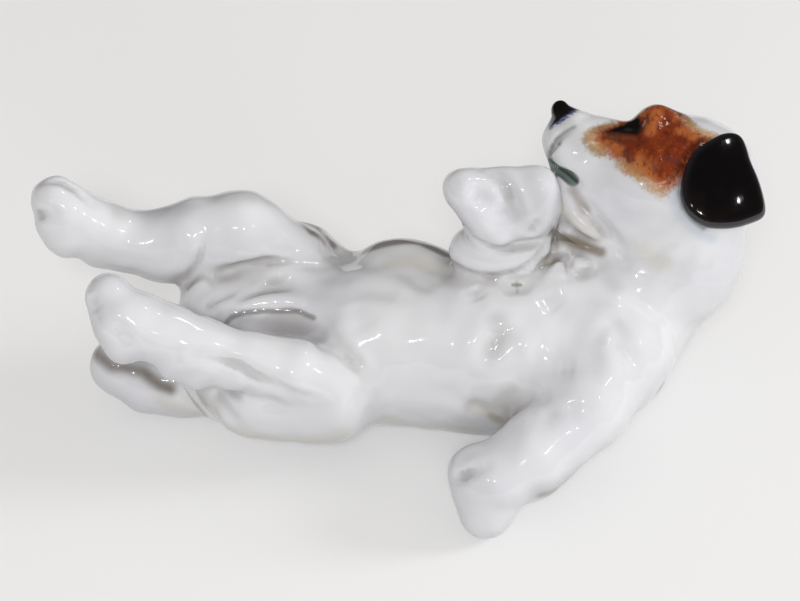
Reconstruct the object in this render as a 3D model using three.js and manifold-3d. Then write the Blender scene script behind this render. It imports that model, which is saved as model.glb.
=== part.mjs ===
// Glazed china puppy lying on its back, hips at -X, head at +X, belly up.
// Millimetres; the origin is on the table, under the middle of the back.
import * as THREE from 'three';
import Module from 'manifold-3d';

// Driving sizes
const figureLength = 119;
const castingWall = 2.8;
const seamGap = 0.3;
const ventDiameter = 4.2;
const earThickness = 2.3;
const bodyCell = 2.3;
const legCell = 2.1;
const headCell = 1.7;
const earCell = 1.15;
const cavityCell = 3.8;

// From hind paw to ear tip the skeleton below is drawn this long, then scaled to the figure's length
const drawnLength = 119;
const scale = figureLength / drawnLength;
const at = (x, y, z) => [x * scale, y * scale, z * scale];
const size = (value) => value * scale;

// Torso masses: centre and half-sizes
const rump = { at: at(-22, 0, 11.6), half: at(13, 11.5, 12.6) };
const seat = { at: at(-28, 5.2, 17), half: at(9, 9, 7.2) };
const loin = { at: at(-3, 1.2, 13.2), half: at(18, 13, 13.8) };
const chest = { at: at(16, 0.9, 13.6), half: at(22, 15.2, 15.2) };
const shoulders = { at: at(32, 2.4, 13.4), half: at(12.1, 13.3, 13.8) };
const flankRoll = { at: at(1, 9.7, 22.6), half: at(7.2, 5.2, 4.6) };
const flankFold = { from: at(-10, 13.6, 17.4), to: at(-2.5, 12, 19.5), radii: [size(4), size(4.5)] };

// Neck, from the shoulders up into the skull, with the throat in front of it
const neckRoot = at(36, 4.6, 15.8);
const neckBend = at(44.5, 10, 25.8);
const neckTop = at(47, 13, 36.5);
const neckRadii = { root: size(11.2), bend: size(11.6), top: size(9) };

// The head turns its left cheek up; its axes are forward, left and crown
const headCentre = at(46.3, 13, 40.5);
const faceTilt = THREE.MathUtils.degToRad(40);
const nosePitch = THREE.MathUtils.degToRad(16);
const cheekRoll = THREE.MathUtils.degToRad(15);

const dot = (a, b) => a[0] * b[0] + a[1] * b[1] + a[2] * b[2];
const plus = (a, b) => [a[0] + b[0], a[1] + b[1], a[2] + b[2]];
const minus = (a, b) => [a[0] - b[0], a[1] - b[1], a[2] - b[2]];
const times = (a, k) => [a[0] * k, a[1] * k, a[2] * k];
const length = (a) => Math.hypot(a[0], a[1], a[2]);

function headAxes() {
  const tilted = [0, Math.sin(faceTilt), Math.cos(faceTilt)];
  const toViewer = [0, -Math.cos(faceTilt), Math.sin(faceTilt)];
  const along = [1, 0, 0];
  const forward = plus(times(along, -Math.cos(nosePitch)), times(tilted, Math.sin(nosePitch)));
  const raised = plus(times(tilted, Math.cos(nosePitch)), times(along, Math.sin(nosePitch)));
  const crown = minus(times(raised, Math.cos(cheekRoll)), times(toViewer, Math.sin(cheekRoll)));
  const left = plus(times(toViewer, Math.cos(cheekRoll)), times(raised, Math.sin(cheekRoll)));
  return { forward, left, crown };
}
const head = headAxes();
const intoHead = (p) => {
  const q = minus(p, headCentre);
  return [dot(q, head.forward), dot(q, head.left), dot(q, head.crown)];
};
const outOfHead = (q) => plus(headCentre, plus(plus(times(head.forward, q[0]), times(head.left, q[1])),
  times(head.crown, q[2])));

// Distance to a limb bone, an egg-shaped lump, and soft joins between them
const blend = (a, b, t) => a + (b - a) * t;
function softMin(a, b, reach) {
  const h = Math.max(reach - Math.abs(a - b), 0) / reach;
  return Math.min(a, b) - h * h * reach / 4;
}
const softMax = (a, b, reach) => -softMin(-a, -b, reach);
function bone(p, a, b, radiusA, radiusB) {
  const axis = minus(b, a);
  const t = Math.min(Math.max(dot(minus(p, a), axis) / dot(axis, axis), 0), 1);
  return length(minus(minus(p, a), times(axis, t))) - blend(radiusA, radiusB, t);
}
function lump(p, centre, half) {
  const q = minus(p, centre);
  const near = Math.hypot(q[0] / half[0], q[1] / half[1], q[2] / half[2]);
  const slope = Math.hypot(q[0] / half[0] ** 2, q[1] / half[1] ** 2, q[2] / half[2] ** 2) + 1e-9;
  return near * (near - 1) / slope;
}

function torsoField(p) {
  let d = lump(p, chest.at, chest.half);
  d = softMin(d, lump(p, loin.at, loin.half), size(5));
  d = softMin(d, lump(p, rump.at, rump.half), size(5));
  d = softMin(d, lump(p, seat.at, seat.half), size(3));
  d = softMin(d, lump(p, shoulders.at, shoulders.half), size(8));
  d = softMin(d, lump(p, flankRoll.at, flankRoll.half), size(4));
  return softMin(d, bone(p, flankFold.from, flankFold.to, ...flankFold.radii), size(4));
}

function neckField(p) {
  let d = bone(p, neckRoot, neckBend, neckRadii.root, neckRadii.bend);
  d = softMin(d, bone(p, neckBend, neckTop, neckRadii.bend, neckRadii.top), size(3));
  d = softMin(d, bone(p, at(30, 6.5, 23), at(32, 10.5, 34), size(6.5), size(6.5)), size(4));
  return softMin(d, bone(p, at(24, 7.5, 24.5), at(31, 8, 28), size(5.5), size(6)), size(4));
}

// Skull, muzzle, jaw, lips, nose, brows and cheeks, in the head's own axes
function headField(p) {
  const q = intoHead(p);
  const m = [q[0], Math.abs(q[1]), q[2]];
  let d = lump(q, at(-0.9, 0, -0.8), at(10.8, 9.4, 9.6));
  d = softMin(d, bone(q, at(4, 0, -1.8), at(18.8, 0, -0.6), size(7.6), size(4.9)), size(4));
  d = softMin(d, bone(q, at(7, 0, -7), at(17, 0, -7.6), size(5.6), size(3.2)), size(2));
  d = softMin(d, lump(m, at(16.4, 2.3, -2.8), at(5, 3, 4.3)), size(2));
  d = softMin(d, bone(q, at(19.8, 0, 2), at(22.1, 0, 4), size(3.2), size(1.5)), size(1.5));
  d = softMin(d, lump(m, at(6.4, 4.4, 5), at(3.6, 3, 3)), size(2.5));
  d = softMin(d, lump(m, at(5, 5, -5.5), at(7.5, 5, 6)), size(4));
  const eye = bone(m, at(15, 4.6, 1.2), at(9.8, 7, 3.4), size(0.3), size(1.1));
  const mouth = bone(m, at(21.6, 0.6, -4.9), at(16.2, 4.2, -8.7), size(0.7), size(0.8));
  d = softMax(d, -eye, size(1.2));
  return softMax(d, -mouth, size(0.8));
}

// Ear flap outline, a rounded triangle: f runs to the face, u up to the ear's root
function earOutline(f, u) {
  const p = [f, 0, u];
  let d = bone(p, at(-5.5, 0, 3.2), at(-4.4, 0, -3.6), size(2.4), size(5.8));
  d = softMin(d, bone(p, at(-4.2, 0, -4), at(-4.6, 0, -7), size(5.6), size(4.8)), size(1));
  return softMin(d, bone(p, at(-6, 0, -5), at(-12, 0, -6.4), size(5.2), size(1.7)), size(2));
}

// The left ear is bent over the cheek and stands clear of it at the tip
const leftEar = { offMiddle: size(10.4), bulge: at(-4, 0, -4), across: 0.028 / scale, down: 0.012 / scale };
const earEdge = size(1.1);
function leftEarField(p) {
  const q = intoHead(p);
  const [across, , down] = minus(q, leftEar.bulge);
  const middle = leftEar.offMiddle - leftEar.across * across ** 2 - leftEar.down * down ** 2;
  return softMax(earOutline(q[0], q[2]), Math.abs(q[1] - middle) - earThickness / 2, earEdge);
}

// The right ear has fallen against the far side of the neck and follows it
const rightEar = { at: at(51, 20, 30.5), face: [-0.82, 0.55, 0.1], up: [0.1, -0.03, 0.99] };
const rightEarLift = size(0.4);
const earShift = { face: size(5.2), up: size(3.6) };
function rightEarField(p) {
  const q = minus(p, rightEar.at);
  const outline = earOutline(dot(q, rightEar.face) - earShift.face, dot(q, rightEar.up) - earShift.up);
  const offSkin = headOnBody(p) - seamGap - rightEarLift - earThickness / 2;
  return softMax(outline, Math.abs(offSkin) - earThickness / 2, earEdge);
}

function leftForeField(p) {
  let d = bone(p, at(34.8, -4.6, 16.8), at(29.2, -14.2, 14), size(9.8), size(7.5));
  d = softMin(d, bone(p, at(29.2, -14.8, 13.8), at(20.9, -23.2, 10.4), size(7.5), size(6.2)), size(2));
  d = softMin(d, bone(p, at(20.5, -23.4, 10.4), at(14.6, -26.5, 8.4), size(6.1), size(6)), size(2));
  return softMin(d, bone(p, at(11.8, -24.5, 8.8), at(13.6, -29, 4.1), size(4.1), size(4.25)), size(2));
}

function rightForeField(p) {
  let d = bone(p, at(17.3, 6, 29.5), at(20.6, 6.5, 34.1), size(4.9), size(4.9));
  d = softMin(d, bone(p, at(20.6, 6.5, 34.1), at(21.6, 7, 38.9), size(4.9), size(4.6)), size(1));
  d = softMin(d, lump(p, at(16.1, 3.6, 31), at(8.4, 5.2, 5.2)), size(1));
  d = softMin(d, bone(p, at(21.4, 6, 41.6), at(10.2, 4, 43.5), size(4.2), size(3.5)), size(1));
  d = softMin(d, bone(p, at(12.1, 3, 41), at(14.9, 3, 36.2), size(3.4), size(4.1)), size(1));
  d = softMin(d, lump(p, at(19.8, 5, 38.6), at(5.5, 5, 5.2)), size(0.8));
  return softMin(d, bone(p, at(21, 6, 41), at(17, 4, 38.5), size(4.2), size(3.8)), size(1.5));
}

function leftHindField(p) {
  let d = bone(p, at(-23.7, -9.1, 10.6), at(-11.5, -10, 10.8), size(6.7), size(7.2));
  d = softMin(d, bone(p, at(-25, -3, 11), at(-12, -7, 12), size(8), size(7.5)), size(2));
  d = softMin(d, bone(p, at(-10.7, -11, 14.6), at(-16.5, -11.5, 18.6), size(5.6), size(5)), size(2));
  d = softMin(d, bone(p, at(-16.5, -11.5, 18.6), at(-32.9, -11, 22.7), size(4.8), size(4.9)), size(1.5));
  d = softMin(d, bone(p, at(-32.9, -11, 23.4), at(-43.6, -9.3, 27.6), size(5.2), size(5.2)), size(1.5));
  d = softMin(d, bone(p, at(-35, -12, 21.8), at(-32.6, -13, 20.4), size(4.2), size(3.2)), size(1));
  d = softMin(d, bone(p, at(-32, -13.2, 20.2), at(-26, -14, 19.6), size(3), size(2.2)), size(1));
  return softMin(d, bone(p, at(-46.5, -7, 30.5), at(-43.9, -11, 24.4), size(3.7), size(3.6)), size(1.5));
}

function rightHindField(p) {
  let d = bone(p, at(-15, 8, 18), at(-19, 9.5, 23.2), size(7.5), size(6));
  d = softMin(d, bone(p, at(-15.5, 15, 20.8), at(-20, 14.5, 22.4), size(4.8), size(5.7)), size(1.5));
  d = softMin(d, bone(p, at(-15.5, 15, 20.2), at(-11, 14.4, 16.6), size(4.4), size(3.4)), size(4));
  d = softMin(d, bone(p, at(-30.5, 10.5, 21.6), at(-20, 10.5, 21.6), size(4.6), size(5)), size(4));
  d = softMin(d, bone(p, at(-16.5, 11, 24.6), at(-26, 12, 28.9), size(4.6), size(5.9)), size(2));
  d = softMin(d, bone(p, at(-26, 12, 28.8), at(-33.5, 12, 27.9), size(5.8), size(6.1)), size(3));
  d = softMin(d, bone(p, at(-33.5, 12, 27), at(-38.7, 12, 25.4), size(5.8), size(5.8)), size(3));
  d = softMin(d, bone(p, at(-38.7, 12, 25.4), at(-49.4, 12, 27.3), size(5.8), size(5)), size(1.5));
  d = softMin(d, bone(p, at(-37.5, 12, 24), at(-36.4, 11.5, 22.3), size(4), size(2.8)), size(1));
  d = softMin(d, bone(p, at(-56.3, 12.5, 34.4), at(-54.7, 11, 29.2), size(4.2), size(4.2)), size(1));
  return softMin(d, bone(p, at(-49, 12, 28.5), at(-54.6, 12, 31.8), size(5), size(5.2)), size(1.5));
}

function tailField(p) {
  let d = bone(p, at(-25, -1.5, 8), at(-36, 0, 6), size(7), size(5.5));
  d = softMin(d, bone(p, at(-36, 0, 6), at(-41.8, 0.4, 6.2), size(5.6), size(5.6)), size(2));
  return softMin(d, bone(p, at(-41.8, 0.4, 6.3), at(-46.7, 1, 8.6), size(5.5), size(5)), size(1));
}

// How softly each limb runs into the body, and the crease where two limbs meet
const limbs = {
  leftFore: { field: leftForeField, reach: size(4.2) },
  rightFore: { field: rightForeField, reach: size(3) },
  leftHind: { field: leftHindField, reach: size(3.5) },
  rightHind: { field: rightHindField, reach: size(3) },
  tail: { field: tailField, reach: size(3) },
};
const creaseReach = size(0.8);
const onBody = (limb, p) => softMin(torsoField(p), limb.field(p), limb.reach);
const headOnBody = (p) => softMin(softMin(torsoField(p), neckField(p), size(6)), headField(p), size(6));

// Two limbs that both stand off the body meet in a crease; elsewhere the nearer one wins
const leastReach = 1e-4;
function creaseBetween(body, a, b) {
  const standing = Math.min(Math.max(Math.min(body - a, body - b) / size(1), 0), 1);
  return softMin(a, b, creaseReach * standing + leastReach);
}
const bodyField = (p) => {
  const body = torsoField(p);
  return Object.values(limbs).reduce((d, limb) => creaseBetween(body, d, onBody(limb, p)), headOnBody(p));
};

// The chin is cleared where the raised paw rests beside it
const headPieceField = (p) => Math.max(headOnBody(p), 2 * seamGap - rightForeField(p));

// Inside of the two hollow castings: a core that stays one wall under the skin
function coreField(p) {
  let d = bone(p, at(-22, 0, 12.5), at(8, 0.5, 14.5), size(7.5), size(10.5));
  d = softMin(d, bone(p, at(8, 0.5, 14.5), at(33, 2.5, 14.5), size(10.5), size(9.5)), size(3));
  d = softMin(d, bone(p, at(33, 3, 15), neckBend, size(9), size(7.2)), size(3));
  d = softMin(d, bone(p, neckBend, outOfHead(at(0, 0, -1)), size(7.2), size(5.6)), size(3));
  return Math.max(d, headOnBody(p) + castingWall, castingWall - p[2]);
}

// Turns a field into one closed mesh: a vertex in every cell that the surface crosses
function castField(field, low, high, cell) {
  const count = [0, 1, 2].map((k) => Math.ceil((high[k] - low[k]) / cell) + 1);
  const index = (i, j, k) => (i * count[1] + j) * count[2] + k;
  const place = (i, j, k) => [low[0] + i * cell, low[1] + j * cell, low[2] + k * cell];
  const value = new Float64Array(count[0] * count[1] * count[2]);
  for (let i = 0; i < count[0]; i++) {
    for (let j = 0; j < count[1]; j++) {
      for (let k = 0; k < count[2]; k++) value[index(i, j, k)] = field(place(i, j, k));
    }
  }
  fillPinches(value, count, index);
  const vertexOf = new Int32Array(value.length).fill(-1);
  const points = [];
  const ends = [0, 1];
  for (let i = 0; i < count[0] - 1; i++) {
    for (let j = 0; j < count[1] - 1; j++) {
      for (let k = 0; k < count[2] - 1; k++) {
        let sum = [0, 0, 0];
        let crossings = 0;
        const edge = (a, b) => {
          const va = value[index(i + a[0], j + a[1], k + a[2])];
          const vb = value[index(i + b[0], j + b[1], k + b[2])];
          if ((va < 0) === (vb < 0)) return;
          sum = plus(sum, plus(a, times(minus(b, a), va / (va - vb))));
          crossings += 1;
        };
        for (const u of ends) {
          for (const v of ends) {
            edge([0, u, v], [1, u, v]);
            edge([u, 0, v], [u, 1, v]);
            edge([u, v, 0], [u, v, 1]);
          }
        }
        if (crossings === 0) continue;
        vertexOf[index(i, j, k)] = points.length;
        points.push(plus(place(i, j, k), times(sum, cell / crossings)));
      }
    }
  }
  const settled = points.map((p) => settle(field, p, cell));
  return { points: settled, triangles: facesBetween(value, vertexOf, count, index) };
}

// Where only two opposite corners of a grid square are inside, the surface would touch itself: fill one
function fillPinches(value, count, index) {
  const thin = -1e-3;
  const square = (a, b, c, d) => {
    const inside = [a, b, c, d].map((n) => value[n] < 0);
    if (inside[0] === inside[1] || inside[0] !== inside[2] || inside[1] !== inside[3]) return 0;
    const outer = inside[0] ? [b, d] : [a, c];
    value[value[outer[0]] < value[outer[1]] ? outer[0] : outer[1]] = thin;
    return 1;
  };
  let filled = 1;
  while (filled > 0) {
    filled = 0;
    for (let i = 0; i < count[0] - 1; i++) {
      for (let j = 0; j < count[1] - 1; j++) {
        for (let k = 0; k < count[2] - 1; k++) {
          const corner = index(i, j, k);
          const [x, y, z] = [index(i + 1, j, k), index(i, j + 1, k), index(i, j, k + 1)];
          filled += square(corner, x, index(i + 1, j + 1, k), y);
          filled += square(corner, y, index(i, j + 1, k + 1), z);
          filled += square(corner, z, index(i + 1, j, k + 1), x);
        }
      }
    }
  }
}

// Slides a vertex along the field's slope until it lies on the surface
function settle(field, start, cell) {
  const step = 0.05;
  let p = start;
  for (let round = 0; round < 3; round++) {
    const here = field(p);
    const slope = [0, 1, 2].map((k) => {
      const probe = [0, 0, 0];
      probe[k] = step;
      return (field(plus(p, probe)) - here) / step;
    });
    const move = here / Math.max(dot(slope, slope), 0.25);
    p = minus(p, times(slope, Math.min(Math.max(move, -cell / 4), cell / 4)));
  }
  return p;
}

// One quad, as two triangles, around every grid edge that the surface crosses
function facesBetween(value, vertexOf, count, index) {
  const triangles = [];
  for (let i = 1; i < count[0] - 1; i++) {
    for (let j = 1; j < count[1] - 1; j++) {
      for (let k = 1; k < count[2] - 1; k++) {
        const here = value[index(i, j, k)] < 0;
        const quad = (a, b, c, d, next) => {
          if (here === next < 0) return;
          const ring = here ? [a, b, c, d] : [d, c, b, a];
          triangles.push([ring[0], ring[1], ring[2]], [ring[0], ring[2], ring[3]]);
        };
        const cellAt = (di, dj, dk) => vertexOf[index(i - di, j - dj, k - dk)];
        quad(cellAt(0, 1, 1), cellAt(0, 0, 1), cellAt(0, 0, 0), cellAt(0, 1, 0), value[index(i + 1, j, k)]);
        quad(cellAt(1, 0, 1), cellAt(1, 0, 0), cellAt(0, 0, 0), cellAt(0, 0, 1), value[index(i, j + 1, k)]);
        quad(cellAt(1, 1, 0), cellAt(0, 1, 0), cellAt(0, 0, 0), cellAt(1, 0, 0), value[index(i, j, k + 1)]);
      }
    }
  }
  return triangles;
}

const wasm = await Module();
wasm.setup();

function solidFrom(points, triangles) {
  return new wasm.Manifold(new wasm.Mesh({
    numProp: 3,
    vertProperties: new Float32Array(points.flat()),
    triVerts: new Uint32Array(triangles.flat()),
  }));
}
function cast(field, low, high, cell) {
  const mesh = castField(field, low, high, cell);
  return solidFrom(mesh.points, mesh.triangles);
}
function solidFromGeometry(geometry) {
  const position = geometry.getAttribute('position');
  const points = [];
  const seen = new Map();
  const corner = [];
  for (let i = 0; i < position.count; i++) {
    const p = [position.getX(i), position.getY(i), position.getZ(i)];
    const key = p.map((value) => value.toFixed(5)).join();
    if (!seen.has(key)) {
      seen.set(key, points.length);
      points.push(p);
    }
    corner.push(seen.get(key));
  }
  const index = geometry.index ? Array.from(geometry.index.array) : corner.map((value, i) => i);
  const triangles = [];
  for (let i = 0; i < index.length; i += 3) {
    const triangle = [corner[index[i]], corner[index[i + 1]], corner[index[i + 2]]];
    if (new Set(triangle).size === 3) triangles.push(triangle);
  }
  return solidFrom(points, triangles);
}

// A block that fills everything beyond a seam plane, on the side that its normal points to
const reachOfBlock = size(400);
function beyond(seam, setBack) {
  const normal = new THREE.Vector3(...seam.normal).normalize();
  const block = new THREE.BoxGeometry(reachOfBlock, reachOfBlock, reachOfBlock);
  block.translate(0, 0, reachOfBlock / 2 - setBack);
  block.applyQuaternion(new THREE.Quaternion().setFromUnitVectors(new THREE.Vector3(0, 0, 1), normal));
  block.translate(...seam.at);
  return solidFromGeometry(block);
}

// Seams where the limbs and head are joined on; each normal points away from the torso
const seams = {
  head: { at: at(40.5, 8.1, 22.5), normal: [0.5, 0.4, 0.77] },
  leftFore: { at: at(28, -16, 14), normal: [0, -1, 0] },
  rightFore: { at: at(20, 5, 32.2), normal: [0, 0, 1] },
  leftHind: { at: at(-2, -12.9, 12), normal: [-0.224, -0.975, 0] },
  rightHind: { at: at(-20, 10.5, 23.5), normal: [-0.25, 0.55, 0.8] },
  tail: { at: at(-34, -1, 7), normal: [-0.85, 0, -0.53] },
};
const aboveTable = beyond({ at: [0, 0, 0], normal: [0, 0, 1] }, 0);

const ventAt = at(17, 0, 0);
function ventHole() {
  const hole = new THREE.CylinderGeometry(ventDiameter / 2, ventDiameter / 2, size(16), 24);
  hole.rotateX(Math.PI / 2);
  hole.translate(...ventAt);
  return solidFromGeometry(hole);
}

const low = at(-66, -42, -8);
const high = at(66, 32, 58);
const core = cast(coreField, low, high, cavityCell);

function torsoSolid() {
  let body = cast(bodyField, low, high, bodyCell).intersect(aboveTable);
  for (const seam of Object.values(seams)) body = body.subtract(beyond(seam, seamGap));
  return body.subtract(core).subtract(ventHole());
}

// Casts a piece with a short stub behind its seam, then cuts the stub off flat
const stub = size(5);
function pieceSolid(field, seam, cell) {
  const normal = times(seam.normal, 1 / length(seam.normal));
  const piece = cast((p) => Math.max(field(p), -stub - dot(minus(p, seam.at), normal)), low, high, cell);
  return piece.intersect(beyond(seam, 0)).intersect(aboveTable);
}
const limbSolid = (name) => pieceSolid((p) => onBody(limbs[name], p), seams[name], legCell);
const headSolid = () => pieceSolid(headPieceField, seams.head, headCell).subtract(core);
const earReach = size(15);
function earSolid(field, middle) {
  const clear = (p) => Math.max(field(p), seamGap - headOnBody(p));
  const box = [earReach, earReach, earReach];
  return cast(clear, minus(middle, box), plus(middle, box), earCell);
}
const leftEarMiddle = outOfHead(at(-5, 9, -4));

const glazeWhite = { color: 0xdfe0e6, roughness: 0.12, metalness: 0 };
const glazeBlack = { color: 0x0d0b0c, roughness: 0.1, metalness: 0 };

function meshOf(name, solid, finish) {
  const mesh = solid.getMesh();
  const geometry = new THREE.BufferGeometry();
  geometry.setAttribute('position', new THREE.BufferAttribute(new Float32Array(mesh.vertProperties), 3));
  geometry.setIndex(new THREE.BufferAttribute(new Uint32Array(mesh.triVerts), 1));
  geometry.computeVertexNormals();
  const piece = new THREE.Mesh(geometry, new THREE.MeshStandardMaterial(finish));
  piece.name = name;
  return piece;
}

const figurine = new THREE.Group();
figurine.name = 'dog_figurine';
figurine.add(
  meshOf('torso', torsoSolid(), glazeWhite),
  meshOf('head', headSolid(), glazeWhite),
  meshOf('left_ear', earSolid(leftEarField, leftEarMiddle), glazeBlack),
  meshOf('right_ear', earSolid(rightEarField, rightEar.at), glazeBlack),
  meshOf('left_foreleg', limbSolid('leftFore'), glazeWhite),
  meshOf('right_foreleg', limbSolid('rightFore'), glazeWhite),
  meshOf('left_hind_leg', limbSolid('leftHind'), glazeWhite),
  meshOf('right_hind_leg', limbSolid('rightHind'), glazeWhite),
  meshOf('tail', limbSolid('tail'), glazeWhite),
);

export default figurine;
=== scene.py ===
import math
import bmesh
import bpy
import numpy as np
from mathutils import Matrix, Vector


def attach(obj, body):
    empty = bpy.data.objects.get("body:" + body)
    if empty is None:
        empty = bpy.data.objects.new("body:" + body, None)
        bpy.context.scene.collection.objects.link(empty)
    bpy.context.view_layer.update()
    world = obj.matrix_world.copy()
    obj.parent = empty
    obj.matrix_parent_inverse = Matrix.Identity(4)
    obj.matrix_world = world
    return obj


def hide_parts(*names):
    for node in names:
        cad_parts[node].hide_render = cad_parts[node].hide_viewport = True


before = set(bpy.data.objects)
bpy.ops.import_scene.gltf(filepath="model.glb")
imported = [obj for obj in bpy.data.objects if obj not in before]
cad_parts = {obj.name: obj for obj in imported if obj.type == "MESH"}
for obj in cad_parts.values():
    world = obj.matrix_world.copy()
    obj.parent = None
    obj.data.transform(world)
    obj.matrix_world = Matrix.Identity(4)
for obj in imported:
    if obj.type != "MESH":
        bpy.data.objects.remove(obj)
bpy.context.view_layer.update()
mm = 0.001
tiny, huge = 1e-9, 1e9

# Camera, set to the photograph's viewpoint; lengths are millimetres until the meshes are made
camera = {
    "target": (0.0, 4.0, 20.4),
    "elevation": 40.0,
    "distance": 450.0,
    "pixelsPerMm": 6.07,
    "frame": (800, 601),
    "sensor": 36.0,
    "clipStart": 0.01,
}
tilt = math.radians(camera["elevation"])
toCamera = np.array([0.0, -math.cos(tilt), math.sin(tilt)])
screenUp = np.array([0.0, math.sin(tilt), math.cos(tilt)])
screenRight = np.array([1.0, 0.0, 0.0])
eyePoint = np.array(camera["target"]) + camera["distance"] * toCamera
focalPixels = camera["distance"] * camera["pixelsPerMm"]


def makeCamera():
    lens = bpy.data.cameras.new("camera")
    lens.sensor_width = camera["sensor"]
    lens.lens = camera["sensor"] * focalPixels / camera["frame"][0]
    lens.clip_start = camera["clipStart"]
    view = bpy.data.objects.new("camera", lens)
    bpy.context.scene.collection.objects.link(view)
    view.location = Vector(eyePoint * mm)
    view.rotation_mode = "QUATERNION"
    view.rotation_quaternion = Vector(-toCamera).to_track_quat("-Z", "Y")
    bpy.context.scene.camera = view


makeCamera()
print("camera set")


# Distance fields: a point set goes in as rows, one distance per row comes out
def softMin(a, b, reach):
    h = np.maximum(reach - np.abs(a - b), 0) / reach
    return np.minimum(a, b) - h * h * reach * 0.25


def softMax(a, b, reach):
    return -softMin(-a, -b, reach)


def bone(p, a, b, radiusA, radiusB):
    a = np.asarray(a, np.float32)
    axis = np.asarray(b, np.float32) - a
    t = np.clip(((p - a) @ axis) / (axis @ axis), 0, 1)
    q = p - a - t[:, None] * axis
    return np.sqrt((q * q).sum(1)) - (radiusA + (radiusB - radiusA) * t)


def lump(p, centre, half):
    q = p - np.asarray(centre, np.float32)
    half = np.asarray(half, np.float32)
    near = np.sqrt(((q / half) ** 2).sum(1))
    slope = np.sqrt(((q / (half * half)) ** 2).sum(1)) + tiny
    return near * (near - 1) / slope


def massField(p, mass):
    kind, *sizes = mass[:-1]
    return lump(p, *sizes) if kind == "lump" else bone(p, *sizes)


def joinAll(p, masses):
    d = massField(p, masses[0])
    for mass in masses[1:]:
        d = softMin(d, massField(p, mass), mass[-1])
    return d


# Each mass: lump, centre, half-sizes, reach of its soft join; or bone, both ends, both radii, reach.
# A seam is a point and the way out of the body; the tip lies on the side of the cuts that is kept.
# The cell is the mesh's grid size and the span the box that is meshed
torso = {
    "masses": [
        ("lump", (16, 0.9, 13.6), (22, 15.2, 15.2), 5),
        ("lump", (-3, 1.2, 13.2), (18, 13, 13.8), 5),
        ("lump", (-22, 0, 11.6), (13, 11.5, 12.6), 5),
        ("lump", (-28, 5.2, 17), (9, 9, 7.2), 3),
        ("lump", (32, 2.4, 13.4), (12.1, 13.3, 13.8), 8),
        ("lump", (1, 9.7, 22.6), (7.2, 5.2, 4.6), 4),
        ("bone", (-10, 13.6, 17.4), (-2.5, 12, 19.5), 4, 4.5, 4),
    ],
    "tip": (0, 12, 26),
    "cell": 0.6,
    "span": ((-42, -20, -3), (56, 24, 36)),
}
neck = {
    "masses": [
        ("bone", (36, 4.6, 15.8), (44.5, 10, 25.8), 11.2, 11.6, 3),
        ("bone", (44.5, 10, 25.8), (47, 13, 36.5), 11.6, 9, 3),
        ("bone", (30, 6.5, 23), (32, 10.5, 34), 6.5, 6.5, 4),
        ("bone", (24, 7.5, 24.5), (31, 8, 28), 5.5, 6, 4),
    ],
    "reach": 6,
}
leftForeleg = {
    "masses": [
        ("bone", (34.8, -4.6, 16.8), (29.2, -14.2, 14), 9.8, 7.5, 0),
        ("bone", (29.2, -14.8, 13.8), (20.9, -23.2, 10.4), 7.5, 6.2, 2),
        ("bone", (20.5, -23.4, 10.4), (14.6, -26.5, 8.4), 6.1, 6, 2),
        ("bone", (11.8, -24.5, 8.8), (13.6, -29, 4.1), 4.1, 4.25, 2),
    ],
    "reach": 4.2,
    "seam": ((28, -16, 14), (0, -1, 0)),
    "tip": (12, -30, 5),
    "cell": 0.5,
    "span": ((2, -40, -3), (44, -12, 28)),
}
rightForeleg = {
    "masses": [
        ("bone", (17.3, 6, 29.5), (20.6, 6.5, 34.1), 4.9, 4.9, 0),
        ("bone", (20.6, 6.5, 34.1), (21.6, 7, 38.9), 4.9, 4.6, 1),
        ("lump", (16.1, 3.6, 31), (8.4, 5.2, 5.2), 1),
        ("bone", (21.4, 6, 41.6), (10.2, 4, 43.5), 4.2, 3.5, 1),
        ("bone", (12.1, 3, 41), (14.9, 3, 36.2), 3.4, 4.1, 1),
        ("lump", (19.8, 5, 38.6), (5.5, 5, 5.2), 0.8),
        ("bone", (21, 6, 41), (17, 4, 38.5), 4.2, 3.8, 1.5),
    ],
    "reach": 3,
    "seam": ((20, 5, 32.2), (0, 0, 1)),
    "tip": (8, 4, 46),
    "cell": 0.42,
    "span": ((2, -7, 28), (30, 17, 52)),
}
leftHindLeg = {
    "masses": [
        ("bone", (-23.7, -9.1, 10.6), (-11.5, -10, 10.8), 6.7, 7.2, 0),
        ("bone", (-25, -3, 11), (-12, -7, 12), 8, 7.5, 2),
        ("bone", (-10.7, -11, 14.6), (-16.5, -11.5, 18.6), 5.6, 5, 2),
        ("bone", (-16.5, -11.5, 18.6), (-32.9, -11, 22.7), 4.8, 4.9, 1.5),
        ("bone", (-32.9, -11, 23.4), (-43.6, -9.3, 27.6), 5.2, 5.2, 1.5),
        ("bone", (-35, -12, 21.8), (-32.6, -13, 20.4), 4.2, 3.2, 1),
        ("bone", (-32, -13.2, 20.2), (-26, -14, 19.6), 3, 2.2, 1),
        ("bone", (-46.5, -7, 30.5), (-43.9, -11, 24.4), 3.7, 3.6, 1.5),
    ],
    "reach": 3.5,
    "seam": ((-2, -12.9, 12), (-0.224, -0.975, 0)),
    "tip": (-50, -8, 30),
    "cell": 0.5,
    "span": ((-56, -24, -3), (2, 2, 40)),
}
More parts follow.
